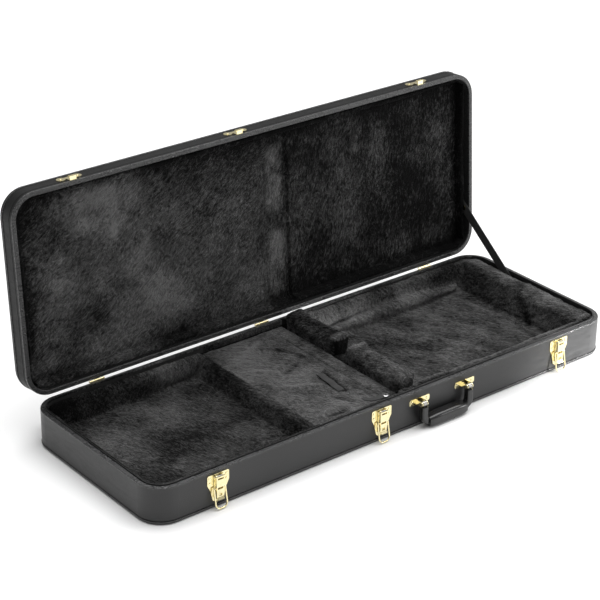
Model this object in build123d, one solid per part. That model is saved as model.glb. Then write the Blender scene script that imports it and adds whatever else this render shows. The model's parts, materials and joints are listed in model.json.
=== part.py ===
from build123d import *
import math
import os

# Rectangular hard case for an electric guitar, modelled with its lid standing open.
# Millimetres. Origin: middle of the underside. +X runs towards the body end of the
# guitar, -Y is the side with the handle and latches, +Y the hinge side, +Z up.
# The lid and all that it carries are drawn closed, then turned open about the hinges.

# ---- driving dimensions ----
LENGTH = 1030.0
WIDTH = 369.0
BASE_HEIGHT = 69.0
LID_DEPTH = 40.0
CORNER_RADIUS = 46.0
LID_OPEN_ANGLE = 94.0
RIM_GAP = 0.4

PLY = 6.0
PANEL = 5.0
SKIN = 1.0
BINDING_WIDTH = 8.5
BINDING_HEIGHT = 3.0
LIP_OUT = 8.6
LIP_THICK = 1.6
LIP_RISE = 2.2
WELT_RADIUS = 1.1
BASE_WELT_Z = 4.6
LID_WELT_BELOW_TOP = 8.5
BOTTOM_EDGE_RADIUS = 3.0
LID_EDGE_RADIUS = 4.0

FRONT = -WIDTH / 2
BACK = WIDTH / 2
LID_BOTTOM = BASE_HEIGHT + RIM_GAP
LID_TOP = LID_BOTTOM + LID_DEPTH
HINGE_Y = BACK + 2.4
HINGE_Z = BASE_HEIGHT + RIM_GAP / 2

# padding and compartments
PAD_INSET = LIP_OUT + LIP_THICK + 0.4
PAD_TOP = 64.0
FLOOR_PAD_TOP = 12.0
THIN_PAD = 6.0
LID_PAD = 8.0
STRAP_POCKET_X = LENGTH / 2 - 15.5
DIVIDER = 5.0
HEAD_DIVIDER_X = -165.0
NECK_DIVIDER_X = 15.0
ACCESSORY_BOARD_Z = 53.0
ACCESSORY_BOARD_TOP = 58.0
ACCESSORY_SPLIT_X = -10.0
ACCESSORY_HALF_WIDTH = 172.5
ACCESSORY_HINGE_X = -157.0
BLOCK_X0 = 21.0
BLOCK_X1 = 63.0
BLOCK_TOP = 90.0
BLOCK_BACK_Y = 167.4
CRADLE_TOP = 56.0
NECK_GAP_Y0 = -12.0
NECK_GAP_Y1 = 26.0
BODY_PAD_TOP = 67.0
BODY_FRONT_PAD_Y = -151.0
BODY_BACK_PAD_Y = 153.0
BODY_BACK_PAD_TOP_Y = 165.0
BODY_END_FOOT_X = 448.0
BODY_END_TOP_X = 470.0
HEAD_DIVIDER_TOP = 57.5
PAD_GAP = 0.3

# latches, keepers, hinges
LATCH_X = {"left": -390.0, "middle": -43.0, "right": 384.0}
LATCH_PLATE = 1.2
LATCH_PLATE_TOP = 63.5
LEVER_PIVOT = (4.7, 59.3)
EAR_HALF = 2.2
LEVER_TOP = 60.4
LEVER_WAIST = 41.0
LEVER_BOTTOM = 20.0
LEVER_SLOTS = ((5.6, 54.6, 57.6), (5.4, 36.2, 39.6), (3.6, 23.5, 28.0))
BAIL_PIVOT = (5.0, 38.5)
BAIL_LENGTH = 36.5
BAIL_TILT = 10.0
BAIL_WIRE = 2.7
BAIL_HALF = 11.3
KEEPER_Z = 86.0
KEEPER_HALF = 24.0
HINGE_X = (-378.0, -16.0, 386.0)
HINGE_HALF = 15.0
KNUCKLE_RADIUS = 2.3
KNUCKLE_HALF = 5.0
BASE_LEAF_END = 47.0
LID_LEAF_END = 92.0
HINGE_PIN_RADIUS = 1.1
LEAF = 1.0

RIVET_RADIUS = 1.4
RIVET_HEAD = 2.6
RIVET_HEIGHT = 1.0
RIVET_SHANK = 5.5
RUNNING = 0.05

# handle
HANDLE_X = 96.7
ARM_HALF_SPAN = 53.0
HANDLE_PIVOT = (13.0, 48.5)
HANDLE_DROP = 36.5
HANDLE_CORNER = 14.0
CORE_RADIUS = 2.4
HANDLE_PIN_RADIUS = 1.8
MOUNT_Z = 50.3

# stay strap, from the base wall to the lid wall at the body end
STRAP_X = LENGTH / 2 - 12.8
STRAP_WIDTH = 20.0
STRAP_THICK = 1.6
STRAP_BASE = (66.0, 53.0)
STRAP_LID = (203.0, 160.0)


# ---- helpers ----
def save(name, *solids):
    shape = solids[0] if len(solids) == 1 else Compound(list(solids))
    export_step(shape, f"parts/{name}.step")


def plan(inset, z0, z1):
    """Prism of the case's outline, moved in by inset, from z0 to z1."""
    outline = RectangleRounded(LENGTH - 2 * inset, WIDTH - 2 * inset, CORNER_RADIUS - inset)
    return Pos(0, 0, z0) * extrude(outline, z1 - z0)


def ring(outer, inner, z0, z1):
    return plan(outer, z0, z1) - plan(inner, z0 - 1, z1 + 1)


def block(x0, x1, y0, y1, z0, z1):
    return Pos((x0 + x1) / 2, (y0 + y1) / 2, (z0 + z1) / 2) * Box(x1 - x0, y1 - y0, z1 - z0)


def pad(x0, x1, y0, y1, z0, z1):
    """A straight pad whose outer corners follow the case's rounded corners."""
    return block(x0, x1, y0, y1, z0, z1) & plan(PAD_INSET, z0 - 1, z1 + 1)


def along_y(points, y0, y1):
    """Prism parallel to Y from a closed outline of (x, z) points."""
    return Pos(0, y1, 0) * Rot(90, 0, 0) * extrude(make_face(Polyline(*points, close=True)), y1 - y0)


def across_x(points, x0, x1):
    """Prism parallel to X from a closed outline of (y, z) points."""
    return Pos(x0, 0, 0) * extrude(Plane.YZ * make_face(Polyline(*points, close=True)), x1 - x0)


def along_x(x0, x1, y, z, radius):
    """Round bar or bore parallel to X."""
    return Pos((x0 + x1) / 2, y, z) * Rot(0, 90, 0) * Cylinder(radius, x1 - x0)


def opened(shape):
    """Turn a piece of the closed lid to where the open lid holds it."""
    swing = Pos(0, HINGE_Y, HINGE_Z) * Rot(-LID_OPEN_ANGLE, 0, 0) * Pos(0, -HINGE_Y, -HINGE_Z)
    return swing * shape


def facing(side):
    """Rotation that turns +Z to the outward normal of the front (-1) or back (+1) wall."""
    return Rot(-90 * side, 0, 0)


def front_profile(sketch, d0, d1):
    """Extrude a sketch, drawn as (x, height), from d0 to d1 outside the front wall."""
    return Pos(0, FRONT - d0, 0) * Rot(90, 0, 0) * extrude(sketch, d1 - d0)


def rivet(x, z, side, stand_off):
    """Round-headed rivet whose head sits stand_off outside the front or back wall."""
    shank = Pos(0, 0, -RIVET_SHANK / 2) * Cylinder(RIVET_RADIUS, RIVET_SHANK)
    head = Pos(0, 0, RIVET_HEIGHT / 2) * Cylinder(RIVET_HEAD, RIVET_HEIGHT)
    head = fillet(head.edges().sort_by(Axis.Z)[-1], 0.8)
    return Pos(x, side * (WIDTH / 2 + stand_off), z) * facing(side) * (head + shank)


def rivet_hole(x, z, side):
    bore = Cylinder(RIVET_RADIUS + RUNNING, 2 * (RIVET_SHANK + 1))
    return Pos(x, side * WIDTH / 2, z) * facing(side) * bore


def drilled(shape, places):
    for x, z, side in places:
        shape -= rivet_hole(x, z, side)
    return shape


# ---- where the rivets go ----
LATCH_RIVETS = [
    (x + dx, z, -1)
    for x in LATCH_X.values()
    for dx, z in ((-16.8, 57.5), (16.8, 57.5), (-16.8, 48.5), (16.8, 48.5), (0.0, 15.5))
]
MOUNT_RIVETS = [
    (HANDLE_X + side * ARM_HALF_SPAN + dx, MOUNT_Z, -1) for side in (-1, 1) for dx in (-17.0, 17.0)
]
HINGE_BASE_RIVETS = [(x + dx, 56.0, 1) for x in HINGE_X for dx in (-9.0, 9.0)]
HINGE_LID_RIVETS = [(x + dx, 83.0, 1) for x in HINGE_X for dx in (-9.0, 9.0)]
KEEPER_RIVETS = [(x + dx, KEEPER_Z, -1) for x in LATCH_X.values() for dx in (-16.5, 16.5)]


# ---- shells ----
def welt(z):
    """Half-round bead that runs round the outside of the cover at height z."""
    bead = ring(-WELT_RADIUS + 0.2, 0, z - WELT_RADIUS, z + WELT_RADIUS)
    outer = [e for e in bead.edges() if abs(e.center().Y) > BACK + 0.5 or abs(e.center().X) > LENGTH / 2]
    return fillet(outer, 0.6)


def base_shell():
    drill = LATCH_RIVETS + MOUNT_RIVETS + HINGE_BASE_RIVETS
    wall_top = BASE_HEIGHT - BINDING_HEIGHT
    walls = ring(SKIN, SKIN + PLY, PANEL, wall_top)
    cover = ring(0, SKIN, PANEL, wall_top)
    anchor = along_x(STRAP_X, LENGTH / 2 - SKIN, STRAP_BASE[0], STRAP_BASE[1], 2.05)
    save("base_walls", drilled(walls, drill) - anchor)
    save("base_vinyl_cover", drilled(cover, drill))
    bottom = plan(0, 0, PANEL)
    save("base_bottom_panel", fillet(bottom.edges().group_by(Axis.Z)[0], BOTTOM_EDGE_RADIUS))
    binding = ring(0, BINDING_WIDTH, wall_top, BASE_HEIGHT)
    top_edges = [e for e in binding.edges().group_by(Axis.Z)[-1]]
    save("base_rim_binding", fillet(top_edges, 1.2))
    save("base_lip", ring(LIP_OUT, LIP_OUT + LIP_THICK, 58.0, BASE_HEIGHT + LIP_RISE))
    save("base_welt", welt(BASE_WELT_Z))


def lid_shell():
    drill = HINGE_LID_RIVETS + KEEPER_RIVETS
    wall_bottom = LID_BOTTOM + BINDING_HEIGHT
    walls = ring(SKIN, SKIN + PLY, wall_bottom, LID_TOP - PANEL)
    cover = ring(0, SKIN, wall_bottom, LID_TOP - PANEL)
    y, z = closed_strap_anchor()
    anchor = along_x(STRAP_X, LENGTH / 2 - SKIN, y, z, 2.05)
    save("lid_walls", opened(drilled(walls, drill) - anchor))
    save("lid_vinyl_cover", opened(drilled(cover, drill)))
    panel = plan(0, LID_TOP - PANEL, LID_TOP)
    save("lid_panel", opened(fillet(panel.edges().group_by(Axis.Z)[-1], LID_EDGE_RADIUS)))
    binding = ring(0, BINDING_WIDTH, LID_BOTTOM, wall_bottom)
    rim_edges = [e for e in binding.edges().group_by(Axis.Z)[0]]
    save("lid_rim_binding", opened(fillet(rim_edges, 1.2)))
    save("lid_welt", opened(welt(LID_TOP - LID_WELT_BELOW_TOP)))


# ---- linings: foam covered in plush ----
def base_linings():
    x_end = LENGTH / 2 - PAD_INSET
    y_end = WIDTH / 2 - PAD_INSET
    head_x = HEAD_DIVIDER_X - 0.3
    z0 = FLOOR_PAD_TOP + 0.2
    save("headstock_floor_pad", pad(-x_end, head_x, -y_end, y_end, PANEL + 0.2, FLOOR_PAD_TOP))
    save(
        "headstock_wall_pads",
        pad(-x_end, -x_end + THIN_PAD, -y_end, y_end, z0, PAD_TOP),
        pad(-x_end + THIN_PAD + 0.2, head_x, y_end - THIN_PAD, y_end, z0, PAD_TOP),
        pad(-x_end + THIN_PAD + 0.2, head_x, -y_end, -y_end + THIN_PAD, z0, PAD_TOP),
    )
    body_x = BLOCK_X1 + 0.3
    save("body_floor_pad", pad(body_x, STRAP_POCKET_X, -y_end, y_end, PANEL + 0.2, FLOOR_PAD_TOP))
    body_wall_pads(y_end, z0)
    accessory_x0 = HEAD_DIVIDER_X + DIVIDER + 0.2
    save("accessory_floor_pad", block(accessory_x0, NECK_DIVIDER_X - 0.2, -y_end, y_end, PANEL + 0.2, 9.0))


def body_wall_pads(y_end, z0):
    """Thick pads of the body compartment; the back and end ones slope down to the floor."""
    foot, crest, top = BODY_END_FOOT_X, BODY_END_TOP_X, BODY_PAD_TOP
    outline = plan(PAD_INSET, z0 - 1, top + 1)
    end = along_y([(foot, z0), (STRAP_POCKET_X, z0), (STRAP_POCKET_X, top), (crest, top)], -y_end, y_end)
    foot_cut, crest_cut = foot - PAD_GAP, crest - PAD_GAP
    room = along_y(
        [(foot_cut, z0 - 1), (LENGTH, z0 - 1), (LENGTH, top + 1), (crest_cut, top + 1), (crest_cut, top),
         (foot_cut, z0)], -y_end - 1, y_end + 1)
    save("body_end_pad", end & outline)
    front = block(BLOCK_X0, STRAP_POCKET_X, -y_end, BODY_FRONT_PAD_Y - PAD_GAP, z0, PAD_TOP)
    save("body_front_pad", (front & outline) - room)
    slope = [(BODY_BACK_PAD_Y, z0), (y_end, z0), (y_end, top), (BODY_BACK_PAD_TOP_Y, top)]
    back = across_x(slope, BLOCK_X1 + PAD_GAP, STRAP_POCKET_X)
    save("body_back_pad", (back & outline) - room)


def lid_linings():
    x_end = LENGTH / 2 - PAD_INSET
    y_end = WIDTH / 2 - PAD_INSET
    z1 = LID_TOP - PANEL - 0.2
    z0 = z1 - LID_PAD
    low = LID_BOTTOM + 3.0
    save("lid_panel_pad", opened(pad(-x_end, STRAP_POCKET_X, -y_end, y_end, z0, z1)))
    x0 = -x_end + THIN_PAD
    x1 = STRAP_POCKET_X - THIN_PAD
    sides = (
        pad(-x_end, x0, -y_end, y_end, low, z0 - 0.2),
        pad(x1, STRAP_POCKET_X, -y_end, y_end, low, z0 - 0.2),
        pad(x0 + 0.2, x1 - 0.2, y_end - THIN_PAD, y_end, low, z0 - 0.2),
        pad(x0 + 0.2, x1 - 0.2, -y_end, -y_end + THIN_PAD, low, z0 - 0.2),
    )
    save("lid_wall_pads", *[opened(side) for side in sides])


# ---- accessory compartment under the neck, and the neck support ----
def accessory_compartment():
    half = ACCESSORY_HALF_WIDTH
    top = ACCESSORY_BOARD_Z - 0.2
    divider_x = HEAD_DIVIDER_X + DIVIDER
    save("headstock_divider", block(HEAD_DIVIDER_X, divider_x, -half, half, PANEL, HEAD_DIVIDER_TOP))
    save("neck_divider", block(NECK_DIVIDER_X, NECK_DIVIDER_X + DIVIDER, -half, half, PANEL, top))
    ledge_x0 = ACCESSORY_SPLIT_X + 2
    ledge = block(ledge_x0, NECK_DIVIDER_X + DIVIDER, -half, half, ACCESSORY_BOARD_Z, ACCESSORY_BOARD_TOP)
    lid = block(ACCESSORY_HINGE_X, ACCESSORY_SPLIT_X, -half, half, ACCESSORY_BOARD_Z, ACCESSORY_BOARD_TOP)
    edge_radius = (ACCESSORY_BOARD_TOP - ACCESSORY_BOARD_Z) / 2
    axis_z = ACCESSORY_BOARD_Z + edge_radius
    lid += Rot(0, 0, 90) * along_x(-half, half, -ACCESSORY_HINGE_X, axis_z, edge_radius)
    stud_x, stud_y = -4.0, -150.0
    stud_bore = Pos(stud_x, stud_y, ACCESSORY_BOARD_TOP) * Cylinder(1.55, 6)
    save("accessory_ledge", ledge - stud_bore)
    save("accessory_lid_board", lid)
    stem = Pos(stud_x, stud_y, ACCESSORY_BOARD_TOP - 0.9) * Cylinder(1.5, 3.4)
    save("snap_stud", stem)
    tab = block(-42, 6, stud_y - 10, stud_y + 10, ACCESSORY_BOARD_TOP + 0.2, ACCESSORY_BOARD_TOP + 1.8)
    tab = fillet(tab.edges().filter_by(Axis.Z), 6)
    tab_bore = Pos(stud_x, stud_y, ACCESSORY_BOARD_TOP) * Cylinder(1.6, 8)
    save("snap_tab", tab - tab_bore)
    cap_z = ACCESSORY_BOARD_TOP + 1.8
    cap = Pos(stud_x, stud_y, cap_z + 0.9) * Cylinder(5.5, 1.8)
    save("snap_cap", fillet(cap.edges().sort_by(Axis.Z)[-1], 1.2))
    ribbon_z = ACCESSORY_BOARD_TOP + 0.2
    save("pull_ribbon", Pos(-51, -56, ribbon_z + 0.6) * Rot(0, 0, -7) * Box(13, 72, 1.2))


def neck_support():
    front = block(BLOCK_X0, BLOCK_X1, BODY_FRONT_PAD_Y, NECK_GAP_Y0, PANEL + 0.2, BLOCK_TOP)
    back = block(BLOCK_X0, BLOCK_X1, NECK_GAP_Y1, BLOCK_BACK_Y, PANEL + 0.2, BLOCK_TOP)
    for name, shape in (("neck_block_front", front), ("neck_block_back", back)):
        rounded = shape.edges().group_by(Axis.Z)[-1]
        save(name, fillet(rounded, 9))
    cradle = block(BLOCK_X0, BLOCK_X1, NECK_GAP_Y0 + 0.2, NECK_GAP_Y1 - 0.2, PANEL + 0.2, CRADLE_TOP)
    save("neck_cradle", cradle)


# ---- latches ----
def latch_plate():
    """Shield-shaped back plate with two ears that carry the lever's pin."""
    half, waist, low = 21.8, 15.8, 11.5
    right = [(half, LATCH_PLATE_TOP), (half, 46), (waist, 34), (low, 16), (6, 11.5)]
    left = [(-x, z) for x, z in reversed(right)]
    outline = make_face(Polyline(*right, *left, close=True))
    corners = outline.vertices().group_by(Axis.Y)[-1]
    outline = fillet(corners, 3)
    plate = front_profile(outline, 0, LATCH_PLATE)
    d, z = LEVER_PIVOT
    for x in (-6.4, 6.4):
        ear = block(x - 0.6, x + 0.6, FRONT - d, FRONT - LATCH_PLATE, z - EAR_HALF, z + EAR_HALF)
        plate += ear + along_x(x - 0.6, x + 0.6, FRONT - d, z, EAR_HALF)
    plate -= along_x(-9, 9, FRONT - d, z, 1.25 + RUNNING)
    return plate


def channel(base_half, front_half, depth, z0, z1):
    """Pressed-sheet channel, open towards the wall, with sloping sides."""
    wall, d0 = 1.0, 1.9
    outer = [(-base_half, d0), (base_half, d0), (front_half, depth), (-front_half, depth)]
    inner = [
        (-base_half + wall, d0 - 1), (base_half - wall, d0 - 1),
        (front_half - wall, depth - wall), (-front_half + wall, depth - wall),
    ]
    faces = [make_face(Polyline(*[(x, FRONT - d) for x, d in pts], close=True)) for pts in (outer, inner)]
    return Pos(0, 0, z0) * (extrude(faces[0], z1 - z0) - extrude(faces[1], z1 - z0))


def latch_lever():
    d, z = LEVER_PIVOT
    lever = channel(9.8, 8.4, 8.4, LEVER_WAIST, LEVER_TOP)
    lever += channel(9.0, 7.2, 7.2, LEVER_BOTTOM, LEVER_WAIST + 0.5)
    for half, z0, z1 in LEVER_SLOTS:
        lever -= block(-half, half, FRONT - 9, FRONT - 6, z0, z1)
    lip_outline = make_face(Polyline(
        (FRONT - 6.6, LEVER_BOTTOM + 1.4), (FRONT - 7.6, LEVER_BOTTOM + 1.4),
        (FRONT - 10.2, LEVER_BOTTOM - 2.2), (FRONT - 9.2, LEVER_BOTTOM - 2.2), close=True))
    lever += Pos(-6.5, 0, 0) * extrude(Plane.YZ * lip_outline, 13)
    lever -= along_x(-14, 14, FRONT - d, z, 1.25 + RUNNING)
    lever -= along_x(-14, 14, FRONT - BAIL_PIVOT[0], BAIL_PIVOT[1], BAIL_WIRE / 2 + RUNNING)
    return lever


def latch_pin():
    d, z = LEVER_PIVOT
    return along_x(-9.3, 9.3, FRONT - d, z, 1.25)


def latch_bail():
    """U of wire whose ends turn inwards into the lever's sides; it hangs when unlatched."""
    radius = 9.0
    stub, leg = 5.5, BAIL_LENGTH
    points = [(stub, 0), (BAIL_HALF, 0), (BAIL_HALF, -leg), (-BAIL_HALF, -leg), (-BAIL_HALF, 0), (-stub, 0)]
    corner = BAIL_WIRE * 0.62
    path = FilletPolyline(*[(x, 0, z) for x, z in points], radius=[corner, radius, radius, corner])
    section = Plane(origin=(stub, 0, 0), z_dir=(1, 0, 0)) * Circle(BAIL_WIRE / 2)
    wire = sweep(section, path=path)
    d, z = BAIL_PIVOT
    return Pos(0, FRONT - d, z) * Rot(-BAIL_TILT, 0, 0) * wire


def latches():
    parts = {
        "latch_plate": latch_plate(), "latch_lever": latch_lever(),
        "latch_pin": latch_pin(), "latch_bail": latch_bail(),
    }
    for side, x in LATCH_X.items():
        for name in ("latch_plate", "latch_lever", "latch_bail"):
            shape = Pos(x, 0, 0) * parts[name]
            if name == "latch_plate":
                shape = drilled(shape, LATCH_RIVETS)
            save(f"{name}_{side}", shape)
    save("latch_lever_pins", *[Pos(x, 0, 0) * parts["latch_pin"] for x in LATCH_X.values()])
    save("latch_rivets", *[rivet(x, z, side, LATCH_PLATE) for x, z, side in LATCH_RIVETS])


def keeper(x):
    """Two-lobed plate on the lid's front wall with a hook that the latch bail goes over."""
    lobes = [Pos(side * (KEEPER_HALF - 8), KEEPER_Z) * Circle(8) for side in (-1, 1)]
    waist = Pos(0, KEEPER_Z) * Rectangle(2 * KEEPER_HALF - 16, 8)
    tongue = Pos(0, KEEPER_Z - 5) * Rectangle(13, 16)
    plate = front_profile(lobes[0] + lobes[1] + waist + tongue, 0, LATCH_PLATE)
    hook_bottom, reach, wall = 72.1, 7.6, 1.2
    shelf = block(-6.5, 6.5, FRONT - reach, FRONT, hook_bottom, hook_bottom + wall)
    tip = block(-6.5, 6.5, FRONT - reach, FRONT - reach + wall, hook_bottom, hook_bottom + 6.5)
    tongue_low = block(-6.5, 6.5, FRONT - wall, FRONT, hook_bottom, KEEPER_Z - 4)
    return Pos(x, 0, 0) * (plate + shelf + tip + tongue_low)


def keepers():
    save("keepers", *[opened(drilled(keeper(x), KEEPER_RIVETS)) for x in LATCH_X.values()])
    save("keeper_rivets", *[opened(rivet(x, z, side, LATCH_PLATE)) for x, z, side in KEEPER_RIVETS])


# ---- hinges ----
def hinge_leaf(x, z_near, z_far, spans):
    """Leaf flat on the back wall from z_near to z_far, with knuckles round the hinge axis at spans."""
    leaf = block(x - HINGE_HALF, x + HINGE_HALF, BACK, BACK + LEAF, min(z_near, z_far), max(z_near, z_far))
    for a, b in spans:
        z0, z1 = min(z_near, HINGE_Z), max(z_near, HINGE_Z)
        leaf += block(x + a, x + b, BACK, BACK + LEAF, z0, z1)
        leaf += along_x(x + a, x + b, HINGE_Y, HINGE_Z, KNUCKLE_RADIUS)
    leaf -= along_x(x - HINGE_HALF - 1, x + HINGE_HALF + 1, HINGE_Y, HINGE_Z, HINGE_PIN_RADIUS + RUNNING)
    return leaf


def hinges():
    middle = ((-KNUCKLE_HALF + 0.1, KNUCKLE_HALF - 0.1),)
    outer = ((-HINGE_HALF, -KNUCKLE_HALF - 0.1), (KNUCKLE_HALF + 0.1, HINGE_HALF))
    base = [hinge_leaf(x, HINGE_Z - 3.2, BASE_LEAF_END, outer) for x in HINGE_X]
    base = [drilled(leaf, HINGE_BASE_RIVETS) for leaf in base]
    lid = [hinge_leaf(x, HINGE_Z + 3.8, LID_LEAF_END, middle) for x in HINGE_X]
    lid = [opened(drilled(leaf, HINGE_LID_RIVETS)) for leaf in lid]
    pins = [along_x(x - HINGE_HALF - 0.6, x + HINGE_HALF + 0.6, HINGE_Y, HINGE_Z, HINGE_PIN_RADIUS)
            for x in HINGE_X]
    save("hinge_base_leaves", *base)
    save("hinge_lid_leaves", *lid)
    save("hinge_pins", *pins)
    save("hinge_base_rivets", *[rivet(x, z, side, LEAF) for x, z, side in HINGE_BASE_RIVETS])
    save("hinge_lid_rivets", *[opened(rivet(x, z, side, LEAF)) for x, z, side in HINGE_LID_RIVETS])


# ---- handle ----
def handle_path(top):
    """The middle line of the hanging handle, from one arm's top to the other's."""
    d, z = HANDLE_PIVOT
    low = z - HANDLE_DROP
    points = [(-ARM_HALF_SPAN, top), (-ARM_HALF_SPAN, low), (ARM_HALF_SPAN, low), (ARM_HALF_SPAN, top)]
    return FilletPolyline(*[(HANDLE_X + x, FRONT - d, h) for x, h in points], radius=HANDLE_CORNER)


def along_path(section, top):
    start = Plane(origin=(HANDLE_X - ARM_HALF_SPAN, FRONT - HANDLE_PIVOT[0], top), x_dir=(1, 0, 0),
                  z_dir=(0, 0, -1))
    return sweep(start * section, path=handle_path(top))


def handle_grip():
    """Moulded grip: two arms and a fatter, crowned hand bar, hollow along the steel core."""
    d, z = HANDLE_PIVOT
    arms = along_path(RectangleRounded(13, 13, 3), z - 5.3)
    bar_z = z - HANDLE_DROP
    half = ARM_HALF_SPAN - HANDLE_CORNER
    sections = [
        Plane(origin=(HANDLE_X + x, FRONT - d, bar_z), x_dir=(0, 1, 0), z_dir=(1, 0, 0))
        * RectangleRounded(2 * a, 2 * b, b * 0.62)
        for x, a, b in ((-half - 5, 9.6, 8.6), (-half + 5, 11.6, 10.6), (0, 12.2, 11.4),
                        (half - 5, 11.6, 10.6), (half + 5, 9.6, 8.6))
    ]
    bar = loft(sections)
    return arms + bar - along_path(Circle(CORE_RADIUS + RUNNING), z - 5.0)


def handle_core():
    """Steel strap inside the grip, ending in the two eyes that the mount pins go through."""
    d, z = HANDLE_PIVOT
    core = along_path(Circle(CORE_RADIUS), z - 3.5)
    for side in (-1, 1):
        x = HANDLE_X + side * ARM_HALF_SPAN
        core += along_x(x - 4, x + 4, FRONT - d, z, 4.6)
    for side in (-1, 1):
        x = HANDLE_X + side * ARM_HALF_SPAN
        core -= along_x(x - 5, x + 5, FRONT - d, z, HANDLE_PIN_RADIUS + RUNNING)
    return core


def handle_mount(x):
    d, z = HANDLE_PIVOT
    outline = Pos(x, MOUNT_Z) * RectangleRounded(46, 11.5, 3)
    mount = front_profile(outline, 0, LATCH_PLATE)
    for dx in (-5.9, 5.9):
        ear = block(x + dx - 0.8, x + dx + 0.8, FRONT - d, FRONT - LATCH_PLATE, z - 4.2, z + 4.2)
        mount += ear + along_x(x + dx - 0.8, x + dx + 0.8, FRONT - d, z, 4.2)
    mount -= along_x(x - 8, x + 8, FRONT - d, z, HANDLE_PIN_RADIUS + RUNNING)
    return drilled(mount, MOUNT_RIVETS)


def handle():
    d, z = HANDLE_PIVOT
    save("handle_grip", handle_grip())
    save("handle_core", handle_core())
    places = {"left": HANDLE_X - ARM_HALF_SPAN, "right": HANDLE_X + ARM_HALF_SPAN}
    for side, x in places.items():
        save(f"handle_mount_{side}", handle_mount(x))
    pins = [along_x(x - 7.4, x + 7.4, FRONT - d, z, HANDLE_PIN_RADIUS) for x in places.values()]
    save("handle_pins", *pins)
    save("handle_mount_rivets", *[rivet(x, h, side, LATCH_PLATE) for x, h, side in MOUNT_RIVETS])


# ---- stay strap ----
def closed_strap_anchor():
    """Where the strap's lid rivet sits while the lid is drawn closed."""
    turn = math.radians(LID_OPEN_ANGLE)
    y, z = STRAP_LID[0] - HINGE_Y, STRAP_LID[1] - HINGE_Z
    return (
        HINGE_Y + y * math.cos(turn) - z * math.sin(turn),
        HINGE_Z + y * math.sin(turn) + z * math.cos(turn),
    )


def strap_rivet(y, z):
    """Rivet from the side wall through the strap's end, with a wide head on the inside."""
    strap_in = STRAP_X - STRAP_THICK / 2
    head = along_x(strap_in - 1.2, strap_in - 0.1, y, z, 5)
    return head + along_x(strap_in - 0.2, LENGTH / 2 - SKIN - 0.1, y, z, 2)


def stay_strap():
    (y0, z0), (y1, z1) = STRAP_BASE, STRAP_LID
    run = math.hypot(y1 - y0, z1 - z0)
    angle = math.degrees(math.atan2(z1 - z0, y1 - y0))
    web = Pos(STRAP_X, (y0 + y1) / 2, (z0 + z1) / 2) * Rot(angle, 0, 0) * Box(
        STRAP_THICK, run + 2 * 11, STRAP_WIDTH)
    for y, z in (STRAP_BASE, STRAP_LID):
        web -= along_x(STRAP_X - 3, STRAP_X + 3, y, z, 2.05)
    save("stay_strap", web)
    save("strap_rivet_base", strap_rivet(y0, z0))
    save("strap_rivet_lid", strap_rivet(y1, z1))


os.makedirs("parts", exist_ok=True)
base_shell()
lid_shell()
base_linings()
lid_linings()
accessory_compartment()
neck_support()
latches()
keepers()
hinges()
handle()
stay_strap()
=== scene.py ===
import json
import math

import bmesh
import bpy
import numpy as np
from mathutils import Matrix, Vector


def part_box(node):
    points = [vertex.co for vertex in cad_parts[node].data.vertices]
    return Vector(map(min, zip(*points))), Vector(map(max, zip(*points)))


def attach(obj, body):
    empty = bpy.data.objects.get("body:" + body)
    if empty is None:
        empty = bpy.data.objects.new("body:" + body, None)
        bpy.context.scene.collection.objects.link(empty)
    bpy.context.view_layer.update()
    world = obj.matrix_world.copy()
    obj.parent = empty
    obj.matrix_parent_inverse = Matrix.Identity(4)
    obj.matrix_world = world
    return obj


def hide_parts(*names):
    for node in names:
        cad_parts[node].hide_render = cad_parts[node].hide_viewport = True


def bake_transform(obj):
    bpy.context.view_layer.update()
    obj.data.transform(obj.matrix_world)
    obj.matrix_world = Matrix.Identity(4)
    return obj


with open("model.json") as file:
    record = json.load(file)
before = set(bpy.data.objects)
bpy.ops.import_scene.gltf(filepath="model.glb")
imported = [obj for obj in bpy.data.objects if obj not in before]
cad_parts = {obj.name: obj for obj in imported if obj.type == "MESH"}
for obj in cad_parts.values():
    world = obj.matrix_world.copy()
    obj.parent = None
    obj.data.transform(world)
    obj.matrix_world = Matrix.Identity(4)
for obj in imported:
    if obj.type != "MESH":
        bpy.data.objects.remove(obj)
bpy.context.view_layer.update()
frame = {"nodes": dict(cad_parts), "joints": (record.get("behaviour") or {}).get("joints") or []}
NODES = frame["nodes"]

# Metres, in the CAD frame: +X towards the body end, -Y the latch side, +Z up.
LID_JOINT = next(j for j in frame["joints"] if j["name"] == "lid_hinge")
HINGE = Vector(LID_JOINT["pos_m"])
OPEN_ANGLE = math.radians(-LID_JOINT["range_deg"][0])
HALF_LENGTH = 0.515
HALF_WIDTH = 0.1845
CORNER = 0.046
SIM_FRAMES = 20
CLOTH_QUALITY = 3
# Voxel of the thick pads' remesh, and how far in from the outline their pile may swell.
PAD_VOXEL = 0.0036
LINING_EDGE = 0.0125
FLOOR_BELOW = 0.009
LID_WELT_Z = 0.1009
# The height that the neck blocks' pile stays under, and that the shut lid's pile stays over above them.
BLOCK_CLEAR = 0.0946
# The same for the back block's far end and the pile of the lid's back wall.
BLOCK_END = 0.1675


# ---- noise and mesh helpers ----
def lattice(ix, iy, iz, seed):
    """Repeatable pseudo-random value in -1..1 for each whole-numbered lattice point."""
    n = (ix * 73856093) ^ (iy * 19349663) ^ (iz * 83492791) ^ (seed * 961748941)
    n = ((n ^ (n >> 13)) * 1274126177) & 0x7FFFFFFF
    n = (n ^ (n >> 15)) * 668265263
    return ((n >> 8) & 0xFFFF) / 32767.5 - 1.0


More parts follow.
